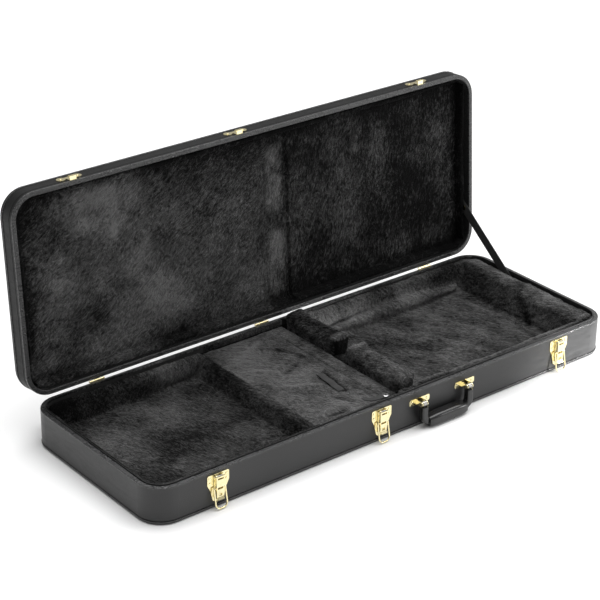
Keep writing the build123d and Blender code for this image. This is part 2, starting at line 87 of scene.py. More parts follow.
def value_noise(points, size, seed):
    """Smooth noise in -1..1; size is the feature size in metres, one number or one per axis."""
    p = points / np.asarray(size, float)
    cell = np.floor(p).astype(np.int64)
    f = p - cell
    f = f * f * (3 - 2 * f)
    total = np.zeros(len(points))
    for dx in (0, 1):
        for dy in (0, 1):
            for dz in (0, 1):
                w = (f[:, 0] if dx else 1 - f[:, 0]) * (f[:, 1] if dy else 1 - f[:, 1])
                w = w * (f[:, 2] if dz else 1 - f[:, 2])
                total += w * lattice(cell[:, 0] + dx, cell[:, 1] + dy, cell[:, 2] + dz, seed)
    return total


def octaves(points, size, seed, count=3):
    size = np.asarray(size, float)
    return sum(value_noise(points, size / 2**k, seed + 17 * k) / 2**k for k in range(count))


def coords(obj):
    co = np.empty(len(obj.data.vertices) * 3, np.float32)
    obj.data.vertices.foreach_get("co", co)
    return co.reshape(-1, 3).astype(float)


def set_coords(obj, co):
    obj.data.vertices.foreach_set("co", co.astype(np.float32).ravel())
    obj.data.update()


def normals(obj):
    n = np.empty(len(obj.data.vertices) * 3, np.float32)
    obj.data.vertex_normals.foreach_get("vector", n)
    return n.reshape(-1, 3).astype(float)


def link(obj):
    bpy.context.scene.collection.objects.link(obj)
    return obj


def smooth(obj):
    obj.data.shade_smooth()
    return obj


def mesh_object(name, verts, faces):
    mesh = bpy.data.meshes.new(name)
    mesh.from_pydata([tuple(v) for v in verts], [], faces)
    mesh.update()
    return link(bpy.data.objects.new(name, mesh))


def freeze(obj):
    """Put the result of an object's modifiers into its mesh."""
    evaluated = obj.evaluated_get(bpy.context.evaluated_depsgraph_get())
    mesh = bpy.data.meshes.new_from_object(evaluated)
    old = obj.data
    obj.modifiers.clear()
    obj.data = mesh
    bpy.data.meshes.remove(old)
    return obj


def merged(name, nodes, extras=()):
    """One new object from copies of the CAD nodes' meshes and some extra objects, which are used up."""
    bm = bmesh.new()
    for node in nodes:
        bm.from_mesh(NODES[node].data)
    for extra in extras:
        bm.from_mesh(extra.data)
        bpy.data.objects.remove(extra)
    mesh = bpy.data.meshes.new(name)
    bm.to_mesh(mesh)
    bm.free()
    return link(bpy.data.objects.new(name, mesh))


def joined(obj, extras):
    """Add the extra objects' meshes to an object as loose shells; they are used up."""
    bm = bmesh.new()
    bm.from_mesh(obj.data)
    for extra in extras:
        bm.from_mesh(extra.data)
        bpy.data.objects.remove(extra)
    bm.to_mesh(obj.data)
    bm.free()
    return obj


def prism(points, y0, y1):
    """Closed prism along Y from (x, z) points, counter-clockwise seen from -Y."""
    n = len(points)
    verts = [(x, y, z) for y in (y0, y1) for x, z in points]
    sides = [(i, (i + 1) % n, n + (i + 1) % n, n + i) for i in range(n)]
    return mesh_object("prism", verts, sides + [tuple(reversed(range(n))), tuple(range(n, 2 * n))])


def tube(points, radii, segments=14, name="tube"):
    """Closed round tube through the points, with its own radius at each."""
    pts = [Vector(p) for p in points]
    verts = []
    for i, p in enumerate(pts):
        ahead = (pts[min(i + 1, len(pts) - 1)] - pts[max(i - 1, 0)]).normalized()
        side = ahead.cross(Vector((0, 0, 1)) if abs(ahead.z) < 0.9 else Vector((0, 1, 0))).normalized()
        up = side.cross(ahead)
        for k in range(segments):
            a = 2 * math.pi * k / segments
            verts.append(p + radii[i] * (math.cos(a) * side + math.sin(a) * up))
    faces = []
    for i in range(len(pts) - 1):
        for k in range(segments):
            a, b = i * segments + k, i * segments + (k + 1) % segments
            faces.append((a, b, b + segments, a + segments))
    last = (len(pts) - 1) * segments
    faces.append(tuple(reversed(range(segments))))
    faces.append(tuple(range(last, last + segments)))
    return mesh_object(name, verts, faces)


def remesh(obj, voxel):
    mod = obj.modifiers.new("Remesh", "REMESH")
    mod.mode = "VOXEL"
    mod.voxel_size = voxel
    mod.use_smooth_shade = True
    return freeze(obj)


def relax(obj, rounds, factor=0.5):
    mod = obj.modifiers.new("Smooth", "SMOOTH")
    mod.iterations = rounds
    mod.factor = factor
    return freeze(obj)


def subdivide(obj):
    mod = obj.modifiers.new("Subdivide", "SUBSURF")
    mod.levels = 1
    mod.render_levels = 1
    return freeze(obj)


def puff(obj, pressure, cap, held):
    """Swell a closed mesh like a stuffed lining: cloth with pressure, points held where held is true."""
    rest = coords(obj)
    group = obj.vertex_groups.new(name="held")
    group.add([int(i) for i in np.nonzero(held(rest))[0]], 1.0, "REPLACE")
    cloth = obj.modifiers.new("Cloth", "CLOTH")
    cloth.settings.use_pressure = True
    cloth.settings.uniform_pressure_force = pressure
    cloth.settings.effector_weights.gravity = 0
    cloth.settings.vertex_group_mass = group.name
    cloth.settings.quality = CLOTH_QUALITY
    cloth.point_cache.frame_start = 1
    cloth.point_cache.frame_end = SIM_FRAMES
    scene = bpy.context.scene
    for number in range(1, SIM_FRAMES + 1):
        scene.frame_set(number)
    evaluated = obj.evaluated_get(bpy.context.evaluated_depsgraph_get())
    after = np.empty(len(rest) * 3, np.float32)
    evaluated.data.vertices.foreach_get("co", after)
    obj.modifiers.clear()
    obj.vertex_groups.clear()
    scene.frame_set(1)
    move = after.reshape(-1, 3) - rest
    length = np.linalg.norm(move, axis=1, keepdims=True)
    move *= np.minimum(1.0, cap / np.maximum(length, 1e-9))
    set_coords(obj, rest + move)
    return obj


def near_line(co, points):
    """Distance of each point from a polyline."""
    best = np.full(len(co), 1e9)
    for a, b in zip(points[:-1], points[1:]):
        a, b = np.array(a, float), np.array(b, float)
        t = np.clip(((co - a) @ (b - a)) / ((b - a) @ (b - a)), 0, 1)
        best = np.minimum(best, np.linalg.norm(co - a - t[:, None] * (b - a), axis=1))
    return best


def bump_along(co, direction, points, width, height):
    """Raise (or with a negative height sink) the surface near a polyline."""
    lift = height * np.exp(-((near_line(co, points) / width) ** 2))
    return co + lift[:, None] * direction


def paint(obj, name, values):
    layer = obj.data.attributes.new(name, "FLOAT", "POINT")
    layer.data.foreach_set("value", np.asarray(values, np.float32))


def turn_about_hinge(obj, angle):
    turn = Matrix.Rotation(angle, 4, "X")
    obj.data.transform(Matrix.Translation(HINGE) @ turn @ Matrix.Translation(-HINGE))
    return obj


# ---- materials ----
class Graph:
    """A small builder for node materials that end in one Principled shader."""

    def __init__(self, name):
        self.material = bpy.data.materials.new(name)
        self.material.use_nodes = True
        self.tree = self.material.node_tree
        self.tree.nodes.clear()
        output = self.add("ShaderNodeOutputMaterial")
        self.shader = self.add("ShaderNodeBsdfPrincipled")
        self.tree.links.new(self.shader.outputs["BSDF"], output.inputs["Surface"])
        self.place = self.add("ShaderNodeTexCoord").outputs["Object"]

    def add(self, kind, **settings):
        node = self.tree.nodes.new(kind)
        for key, value in settings.items():
            setattr(node, key, value)
        return node

    def feed(self, socket, value):
        if isinstance(value, bpy.types.NodeSocket):
            self.tree.links.new(value, socket)
        elif value is not None:
            socket.default_value = value

    def set(self, name, value):
        self.feed(self.shader.inputs[name], value)

    def noise(self, scale, detail=3.0, rough=0.55, distort=0.0, at=None):
        node = self.add("ShaderNodeTexNoise")
        self.feed(node.inputs["Vector"], at or self.place)
        for key, value in (("Scale", scale), ("Detail", detail), ("Roughness", rough),
                           ("Distortion", distort)):
            node.inputs[key].default_value = value
        return node.outputs["Fac"]

    def cells(self, scale, at=None, feature="F1", output="Distance"):
        node = self.add("ShaderNodeTexVoronoi", feature=feature)
        self.feed(node.inputs["Vector"], at or self.place)
        node.inputs["Scale"].default_value = scale
        return node.outputs[output]

    def stretched(self, size, turn=(0.0, 0.0, 0.0), at=None):
        """Coordinates in which a pattern of unit scale has the given feature size along the turned axes."""
        node = self.add("ShaderNodeMapping", vector_type="TEXTURE")
        self.feed(node.inputs["Vector"], at or self.place)
        node.inputs["Scale"].default_value = size
        node.inputs["Rotation"].default_value = turn
        return node.outputs["Vector"]

    def warped(self, amount, scale):
        """Coordinates pushed about by a low noise, so that a streaky pattern swirls."""
        node = self.add("ShaderNodeTexNoise")
        self.feed(node.inputs["Vector"], self.place)
        node.inputs["Scale"].default_value = scale
        node.inputs["Detail"].default_value = 2.0
        shift = self.add("ShaderNodeVectorMath", operation="MULTIPLY_ADD")
        self.feed(shift.inputs[0], node.outputs["Color"])
        shift.inputs[1].default_value = (amount,) * 3
        self.feed(shift.inputs[2], self.place)
        return shift.outputs["Vector"]

    def axis(self, direction):
        """Distance along a direction from the frame's origin."""
        node = self.add("ShaderNodeVectorMath", operation="DOT_PRODUCT")
        self.feed(node.inputs[0], self.place)
        node.inputs[1].default_value = direction
        return node.outputs["Value"]

    def math(self, kind, a, b=None, clamp=False):
        node = self.add("ShaderNodeMath", operation=kind, use_clamp=clamp)
        self.feed(node.inputs[0], a)
        self.feed(node.inputs[1], b)
        return node.outputs[0]

    def remap(self, value, low, high, to_low=0.0, to_high=1.0):
        node = self.add("ShaderNodeMapRange")
        for key, item in zip(("Value", "From Min", "From Max", "To Min", "To Max"),
                             (value, low, high, to_low, to_high)):
            self.feed(node.inputs[key], item)
        return node.outputs["Result"]

    def blend(self, fac, a, b):
        node = self.add("ShaderNodeMix", data_type="FLOAT")
        self.feed(node.inputs["Factor"], fac)
        self.feed(node.inputs["A"], a)
        self.feed(node.inputs["B"], b)
        return node.outputs["Result"]

    def mix(self, fac, a, b):
        node = self.add("ShaderNodeMix", data_type="RGBA")
        self.feed(node.inputs["Factor"], fac)
        self.feed(node.inputs["A"], a)
        self.feed(node.inputs["B"], b)
        return node.outputs["Result"]

    def bump(self, height, strength, depth, under=None):
        node = self.add("ShaderNodeBump")
        node.inputs["Strength"].default_value = strength
        node.inputs["Distance"].default_value = depth
        self.feed(node.inputs["Height"], height)
        self.feed(node.inputs["Normal"], under)
        return node.outputs["Normal"]

    def attribute(self, name):
        return self.add("ShaderNodeAttribute", attribute_name=name).outputs["Fac"]


def grey(value, tint=(1.0, 1.0, 1.0)):
    return (value * tint[0], value * tint[1], value * tint[2], 1.0)


def plush_material(name, turn, other=None, low=0.0022, high=0.088):
    """Short black pile: streaks along the pile's lie, tufts, crushed lighter patches and a soft sheen. A
    per-point tone attribute read from the mesh also carries painted highlights and painted shade.

    With a second direction the lie turns to it over the right-hand half of the sheet.
    """
    g = Graph(name)
    swirl = g.warped(0.040, 8.0)

    def pile(direction, size, detail):
        return g.noise(1.0, detail, 0.66, 0.4, g.stretched(size, direction, swirl))

    streaks = pile(turn, (0.013, 0.0034, 0.0044), 4.0)
    strands = pile(turn, (0.0064, 0.0016, 0.0022), 3.0)
    clouds = g.noise(11.0, 4.0, 0.55, 0.5)
    if other:
        along = g.axis((1.0, 0.0, 0.0))
        side = g.remap(g.math("ADD", along, g.math("MULTIPLY", clouds, 0.3)), 0.10, 0.22)
        streaks = g.blend(side, streaks, pile(other, (0.016, 0.0036, 0.0046), 4.0))
        strands = g.blend(side, strands, pile(other, (0.0070, 0.0017, 0.0022), 3.0))
    tufts = g.noise(120.0, 3.0, 0.62, 0.8, swirl)
    # per-point tone from the mesh: the pile's own patchy tone plus painted highlights and painted shade
    nap_and_painted_light = g.attribute("nap_and_painted_light")
    mixed = g.math("ADD", g.math("MULTIPLY", streaks, 0.34), g.math("MULTIPLY", tufts, 0.20))
    mixed = g.math("ADD", mixed, g.math("MULTIPLY", clouds, 0.16))
    mixed = g.math("ADD", mixed, g.math("MULTIPLY", strands, 0.30))
    light = g.math("ADD", mixed, g.math("MULTIPLY", g.math("SUBTRACT", nap_and_painted_light, 0.5), 0.40))
    light = g.math("POWER", g.remap(light, 0.40, 0.66), 1.5)
    g.set("Base Color", g.mix(light, grey(low), grey(high, (1.0, 0.99, 0.97))))
    g.set("Roughness", g.remap(light, 0.0, 1.0, 0.85, 0.58))
    g.set("Specular IOR Level", g.remap(light, 0.0, 1.0, 0.08, 0.45))
    g.set("Sheen Weight", g.remap(light, 0.0, 1.0, 0.02, 0.75))
    g.set("Sheen Roughness", 0.38)
    g.set("Sheen Tint", grey(0.50, (1.0, 1.0, 1.02)))
    height = g.math("ADD", g.math("MULTIPLY", streaks, 0.65), g.math("MULTIPLY", tufts, 0.45))
    normal = g.bump(height, 1.0, 0.010)
    g.set("Normal", g.bump(strands, 1.0, 0.0034, normal))
    return g.material


def vinyl_material(name, base=0.012, rough=0.40, grain=520.0, relief=1.0, shaded_seams=(), axis=(0.0, 0.0, 1.0),
                   shift=0.0, shine=0.5):
    """Black leather-grain vinyl: rounded pebbles with fine creases, a little scuffed.

    A seam is a (level, half width) along the axis where the cover is pulled into a narrow groove; the
    groove's shade is painted in as a near-black colour, with duller gloss and a sunk bump.
    """
    g = Graph(name)
    bent = g.warped(0.0012, 260.0)
    pebbles = g.cells(grain, bent, "SMOOTH_F1")
    creases = g.cells(grain * 0.55, bent, "DISTANCE_TO_EDGE")
    fine = g.noise(grain * 3.2, 3.0, 0.6)
    wide = g.noise(5.0, 3.0, 0.5)
    scuffs = g.noise(1.0, 4.0, 0.65, 0.6, g.stretched((0.025, 0.025, 0.006)))
    tone = g.math("ADD", g.math("MULTIPLY", wide, 0.6), g.math("MULTIPLY", scuffs, 0.4))
    tone = g.remap(tone, 0.35, 0.65)
    color = g.mix(tone, grey(base * 0.8), grey(base * 1.5, (1.0, 1.0, 1.02)))
    gloss = g.remap(scuffs, 0.35, 0.7, rough - 0.05, rough + 0.10)
    specular = shine
    normal = g.bump(g.remap(creases, 0.0, 0.22), 0.30 * relief, 0.00022)
    normal = g.bump(g.math("SUBTRACT", 1.0, pebbles), 0.45, 0.00035 * relief, normal)
    if shaded_seams:
        level = g.math("ADD", g.axis(axis), shift)
        shaded_crease = 0.0
        for place, half in shaded_seams:
            away = g.math("ABSOLUTE", g.math("SUBTRACT", level, place))
            shaded_crease = g.math("MAXIMUM", g.remap(away, 0.35 * half, half, 1.0, 0.0), shaded_crease)
        # painted shade: the sunk groove of each seam is coloured near black
        color = g.mix(shaded_crease, color, grey(0.0008))
        gloss = g.math("ADD", gloss, g.math("MULTIPLY", shaded_crease, 0.5), clamp=True)
        specular = g.remap(shaded_crease, 0.0, 1.0, shine, 0.03)
        normal = g.bump(g.math("SUBTRACT", 1.0, shaded_crease), 0.8, 0.0007, normal)
    g.set("Base Color", color)
    g.set("Roughness", gloss)
    g.set("Specular IOR Level", specular)
    g.set("Normal", g.bump(fine, 0.20, 0.00012, normal))
    return g.material


def metal_material(name, color, rough, wear):
    """Plated metal with fine brushing, a few dull specks and slightly uneven plating."""
    g = Graph(name)
    brush = g.noise(1.0, 3.0, 0.6, 0.0, g.stretched((0.0024, 0.0024, 0.0004)))
    blotch = g.noise(160.0, 3.0, 0.6)
    specks = g.remap(g.noise(1500.0, 2.0, 0.6), 0.62, 0.72)
    dull = tuple(c * wear for c in color) + (1.0,)
    tone = g.mix(g.remap(blotch, 0.4, 0.75, 0.0, 0.55), color + (1.0,), dull)
    g.set("Base Color", g.mix(g.math("MULTIPLY", specks, 0.35), tone, dull))
    g.set("Metallic", 1.0)
    g.set("Roughness", g.remap(blotch, 0.3, 0.7, rough, rough + 0.12))
    normal = g.bump(brush, 0.10, 0.0001)
    g.set("Normal", g.bump(blotch, 0.12, 0.0004, normal))
    return g.material


def webbing_material(name, along, across, base, edge):
    """Woven tape: ribs across the tape and finer yarns along it."""
    g = Graph(name)
    ribs = g.math("SINE", g.math("MULTIPLY", g.axis(along), 2 * math.pi / 0.0016))
    yarns = g.math("SINE", g.math("MULTIPLY", g.axis(across), 2 * math.pi / 0.0022))
    weave = g.math("MULTIPLY", ribs, yarns)
    fuzz = g.noise(900.0, 3.0, 0.6)
    light = g.remap(g.math("ADD", g.math("MULTIPLY", weave, 0.3), fuzz), 0.2, 0.9)
    g.set("Base Color", g.mix(light, grey(base), grey(edge)))
    g.set("Roughness", 0.7)
    g.set("Sheen Weight", 0.25)
    g.set("Sheen Tint", grey(0.4))
    g.set("Normal", g.bump(g.math("ADD", weave, fuzz), 0.6, 0.0004))
    return g.material


def plastic_material(name, base, rough):
    """Moulded plastic: a fine spark-eroded texture, faint flow marks and rubbed gloss."""
    g = Graph(name)
    texture = g.noise(2600.0, 2.0, 0.6)
    flow = g.noise(30.0, 4.0, 0.6, 0.8)
    g.set("Base Color", g.mix(g.remap(flow, 0.35, 0.65), grey(base * 0.8), grey(base * 1.3)))
    g.set("Roughness", g.remap(flow, 0.3, 0.7, rough - 0.06, rough + 0.08))
    g.set("Normal", g.bump(texture, 0.25, 0.0002))
    return g.material


def lining_material(name):
    """Thin black pile glued straight to the wood, seen only in the gaps between the pads."""
    g = Graph(name)
    pile = g.noise(1.0, 3.0, 0.65, 0.3, g.stretched((0.004, 0.0012, 0.0012)))
    g.set("Base Color", g.mix(g.remap(pile, 0.35, 0.65), grey(0.003), grey(0.016)))
    g.set("Roughness", 0.9)
    g.set("Specular IOR Level", 0.1)
    g.set("Sheen Weight", 0.12)
    g.set("Normal", g.bump(pile, 0.8, 0.0012))
    return g.material


def make_materials():
    strap_run = Vector((0.0, 0.137, 0.107)).normalized()
    strap_side = Vector((0.0, -strap_run.z, strap_run.y))
    # the lid's own up axis when it is shut, as it lies in the open frame
    up = (0.0, math.sin(OPEN_ANGLE), math.cos(OPEN_ANGLE))
    shift = HINGE.z - HINGE.y * up[1] - HINGE.z * up[2]
    base_shaded_seams = ((0.0067, 0.0009),)
    lid_shaded_seams = ((0.0780, 0.0008), (0.0989, 0.0009), (0.1029, 0.0009))
    return {
        "vinyl": vinyl_material("vinyl", shaded_seams=base_shaded_seams),
        # painted shade: the lid's cover is the base's vinyl given a darker colour and a weaker reflection,
        # so that it reads as shaded
        "lid_vinyl_shaded": vinyl_material("lid_vinyl_shaded", 0.008, 0.44, shaded_seams=lid_shaded_seams, axis=up, shift=shift,
                                    shine=0.14),
        "binding": vinyl_material("binding", 0.020, 0.28, 430.0, 4.5),
        "welt": vinyl_material("welt", 0.030, 0.26, 430.0, 3.5),
        "lip": vinyl_material("lip", 0.008, 0.5, 900.0),
        "plush_head": plush_material("plush_head", (0.0, 0.0, math.radians(-76.0))),
        "plush_base": plush_material("plush_base", (0.0, 0.0, math.radians(-60.0))),
        "plush_lid": plush_material("plush_lid", (0.0, math.radians(-38.0), 0.0),
                                    (0.0, math.radians(-78.0), 0.0)),
        "brass": metal_material("brass", (0.93, 0.83, 0.50), 0.14, 0.70),
        "steel": metal_material("steel", (0.40, 0.39, 0.36), 0.22, 0.6),
        "lining": lining_material("lining"),
        "grip": plastic_material("handle_grip", 0.012, 0.20),
        "webbing": webbing_material("webbing", strap_run, strap_side, 0.010, 0.030),
        "ribbon": webbing_material("ribbon", (0.1, 0.99, 0.0), (0.99, -0.1, 0.0), 0.004, 0.016),
        "snap": metal_material("snap", (0.93, 0.93, 0.93), 0.15, 0.8),
    }


NODE_FINISH = (
    ("vinyl", ("base_vinyl_cover", "base_bottom_panel")),
    ("lid_vinyl_shaded", ("lid_vinyl_cover", "lid_panel")),
    ("binding", ("base_rim_binding", "lid_rim_binding")),
    ("welt", ("base_welt", "lid_welt")),
    ("lip", ("base_lip",)),
    ("lining", ("base_walls", "lid_walls")),
    ("grip", ("handle_grip",)),
    ("steel", ("handle_core", "handle_pins", "latch_lever_pins", "hinge_pins", "snap_stud")),
    ("snap", ("snap_cap",)),
    ("brass", ("latch_plate_", "latch_lever_left", "latch_lever_middle", "latch_lever_right", "latch_bail_",
               "latch_rivets", "keeper", "hinge_base", "hinge_lid", "handle_mount", "strap_rivet_")),
)


def finish_nodes(materials):
    for finish, starts in NODE_FINISH:
        for name, obj in NODES.items():
            if name.startswith(starts):
                obj.data.materials.clear()
                obj.data.materials.append(materials[finish])


def dress(obj, material, body, nodes):
    obj.data.materials.clear()
    obj.data.materials.append(material)
    smooth(obj)
    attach(obj, body)
    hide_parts(*nodes)
    return obj


# ---- plush linings ----
def inside_outline(co, inset):
    """True for points that lie within the case's rounded outline, moved in by inset."""
    half_x, half_y, radius = HALF_LENGTH - inset, HALF_WIDTH - inset, CORNER - inset
    qx = np.maximum(np.abs(co[:, 0]) - (half_x - radius), 0)
    qy = np.maximum(np.abs(co[:, 1]) - (half_y - radius), 0)
    near = np.hypot(qx, qy) < radius
    return near & (np.abs(co[:, 0]) < half_x) & (np.abs(co[:, 1]) < half_y)


def tufted(obj, amount, seed, grain=(0.016, 0.007, 0.010), angle=-0.9, keep=None):
    """Give plush its clumps: small lumps drawn out along the pile's lie."""
    co, n = coords(obj), normals(obj)
    c, s = math.cos(angle), math.sin(angle)
    turned = np.column_stack((c * co[:, 0] + s * co[:, 1], -s * co[:, 0] + c * co[:, 1], co[:, 2]))
    wobble = 0.006 * np.column_stack([octaves(co, 0.05, seed + 5 + k, 2) for k in range(3)])
    lift = amount * octaves(turned + wobble, grain, seed, 3)
    lift += 0.8 * amount * value_noise(co, 0.05, seed + 3)
    if keep is not None:
        lift = np.where(keep(co), 0.0, lift)
    set_coords(obj, co + lift[:, None] * n)
    return obj


def rim_roll(x0, x1):
    """The pile's rolled edge, which hides the lip from above, for the part of the rim between x0 and x1."""
    runs, run = [], []
    for x, y, _ in outline_points(0.0107, 0.008):
        if x0 <= x <= x1:
            run.append((x, y, 0.0700))
        elif run:
            runs.append(run)
            run = []
    if run:
        runs.append(run)
    return [tube(path, [0.0021] * len(path), 10) for path in runs if len(path) > 2]


def headstock_lining(materials):
    nodes = ("headstock_floor_pad", "headstock_wall_pads", "headstock_divider")
    lo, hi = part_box("headstock_divider")
    top = hi.z
    lean = prism([(lo.x - 0.015, 0.0115), (lo.x + 0.002, 0.0115), (lo.x + 0.002, top), (lo.x - 0.001, top)],
                 -0.1715, 0.1715)
    obj = merged("headstock_lining", nodes, [lean])
    remesh(obj, PAD_VOXEL)
    obj = joined(obj, rim_roll(-0.51, lo.x))

    def held(co):
        return (co[:, 2] < FLOOR_BELOW) | ~inside_outline(co, LINING_EDGE) | (co[:, 0] > lo.x + 0.003)

    puff(obj, 4.0, 0.006, held)
    relax(obj, 2)
    subdivide(obj)
    co = coords(obj)
    up = np.array([0.0, 0.0, 1.0])
    floor = ((co[:, 2] > 0.010) & (co[:, 2] < 0.024)).astype(float)[:, None]
    # the cloth's fold along the foot of the divider and the shallow drag marks on the floor
    co = bump_along(co, floor * up, [(-0.190, -0.150, 0.013), (-0.187, 0.150, 0.013)], 0.009, 0.006)
    co = bump_along(co, floor * up, [(-0.203, -0.140, 0.013), (-0.200, 0.140, 0.013)], 0.006, -0.002)
    co = bump_along(co, floor * up, [(-0.30, 0.02, 0.013), (-0.22, -0.10, 0.013)], 0.014, 0.003)
    set_coords(obj, co)
    tufted(obj, 0.0010, 11, keep=lambda c: ~inside_outline(c, LINING_EDGE) | (c[:, 2] < FLOOR_BELOW))
    co = coords(obj)
    nap_and_painted_light = 0.47 + 0.18 * octaves(co, 0.07, 3, 3)
    nap_and_painted_light += 0.30 * np.exp(-(near_line(co, [(-0.24, 0.168, 0.05), (-0.17, 0.168, 0.03)]) / 0.03) ** 2)
    nap_and_painted_light += 0.18 * np.exp(-(near_line(co, [(-0.42, 0.05, 0.012), (-0.30, 0.10, 0.012)]) / 0.06) ** 2)
    nap_and_painted_light -= 0.25 * np.exp(-(near_line(co, [(-0.47, 0.168, 0.04), (-0.33, 0.168, 0.04)]) / 0.05) ** 2)
    paint(obj, "nap_and_painted_light", nap_and_painted_light)
    dress(obj, materials["plush_head"], "base", nodes)


def body_lining(materials):
    nodes = ("body_floor_pad", "body_front_pad", "body_back_pad", "body_end_pad")
    roll_path = [(0.09, 0.147, 0.022), (0.15, 0.145, 0.026), (0.26, 0.147, 0.029), (0.35, 0.148, 0.028),
                 (0.44, 0.149, 0.024)]
    roll = tube(roll_path, [0.004, 0.010, 0.0115, 0.0105, 0.004])
    skirt = prism([(0.0632, 0.0115), (0.079, 0.0115), (0.069, 0.030), (0.0655, 0.050), (0.0632, 0.052)],
                  -0.149, -0.013)
    shelf = [(0.4975, 0.0115), (0.5030, 0.0115), (0.5030, 0.0655), (0.4975, 0.0655)]
    shelves = [prism(shelf, -0.150, 0.044), prism(shelf, 0.106, 0.152)]
    obj = merged("body_lining", nodes, [roll, skirt] + shelves)
    remesh(obj, PAD_VOXEL)
    obj = joined(obj, rim_roll(0.024, 0.495))

    def held(co):
        ends = (co[:, 0] > 0.4985) | (co[:, 0] < 0.0642)
        return (co[:, 2] < FLOOR_BELOW) | ~inside_outline(co, LINING_EDGE) | ends

    puff(obj, 4.0, 0.006, held)
    relax(obj, 2)
    subdivide(obj)
    co = coords(obj)
    up = np.array([0.0, 0.0, 1.0])
    floor = ((co[:, 2] > 0.010) & (co[:, 2] < 0.024)).astype(float)[:, None]
    nap_and_painted_light = np.full(len(co), 0.585)
    waves = (
        ([(0.09, -0.05, 0.013), (0.15, -0.10, 0.013), (0.19, -0.14, 0.013)], 0.013, 0.0026),
        ([(0.13, 0.09, 0.013), (0.19, 0.01, 0.013), (0.24, -0.10, 0.013)], 0.016, 0.0024),
        ([(0.21, 0.10, 0.013), (0.27, 0.02, 0.013), (0.31, -0.09, 0.013)], 0.014, 0.0022),
        ([(0.31, 0.11, 0.013), (0.35, 0.00, 0.013), (0.36, -0.12, 0.013)], 0.013, 0.0026),
        ([(0.41, 0.12, 0.013), (0.42, 0.00, 0.013), (0.39, -0.12, 0.013)], 0.011, 0.0030),
    )
    # painted light: each wave's crest is painted lighter and a line 19 mm further towards +X darker, as
    # painted highlight and painted shade on top of the real raised waves
    for path, width, height in waves:
        valley_shade = [(x + 0.019, y, z) for x, y, z in path]
        nap_and_painted_light += 0.09 * np.exp(-(near_line(co, path) / width) ** 2)
        nap_and_painted_light -= 0.08 * np.exp(-(near_line(co, valley_shade) / width) ** 2)
        co = bump_along(co, floor * up, path, width, height)
    # a real sunk fold line near the end wall, with painted shade along it
    shaded_crease = [(0.486, 0.022, 0.066), (0.464, -0.015, 0.045), (0.452, -0.048, 0.020)]
    nap_and_painted_light -= 0.40 * np.exp(-(near_line(co, shaded_crease) / 0.011) ** 2)
    co = bump_along(co, normals(obj), shaded_crease, 0.008, -0.004)
    # the front pad's raised top edge and the sunk channel between it and the rim are real relief, with a
    # painted highlight along the edge and painted shade in the channel
    lit_ridge = [(0.08, -0.1525, 0.064), (0.49, -0.1525, 0.064)]
    shaded_gutter = [(0.03, -0.1685, 0.064), (0.49, -0.1685, 0.064)]
    nap_and_painted_light += 0.28 * np.exp(-(near_line(co, lit_ridge) / 0.007) ** 2)
    nap_and_painted_light -= 0.40 * np.exp(-(near_line(co, shaded_gutter) / 0.008) ** 2)
    high = (co[:, 2] > 0.055).astype(float)[:, None]
    co = bump_along(co, high * up, lit_ridge, 0.007, 0.0035)
    co = bump_along(co, high * up, shaded_gutter, 0.006, -0.0050)
    set_coords(obj, co)
    tufted(obj, 0.0017, 23, keep=lambda c: ~inside_outline(c, LINING_EDGE) | (c[:, 2] < FLOOR_BELOW))
    co = coords(obj)
    nap_and_painted_light += 0.16 * octaves(co, 0.05, 7, 3)
    # painted highlight along the top of the roll at the back of the floor
    nap_and_painted_light += 0.34 * np.exp(-(near_line(co, roll_path) / 0.015) ** 2)
    nap_and_painted_light += 0.20 * np.exp(-(near_line(co, [(0.490, -0.14, 0.066), (0.490, 0.14, 0.066)]) / 0.014) ** 2)
    paint(obj, "nap_and_painted_light", nap_and_painted_light)
    dress(obj, materials["plush_base"], "base", nodes)


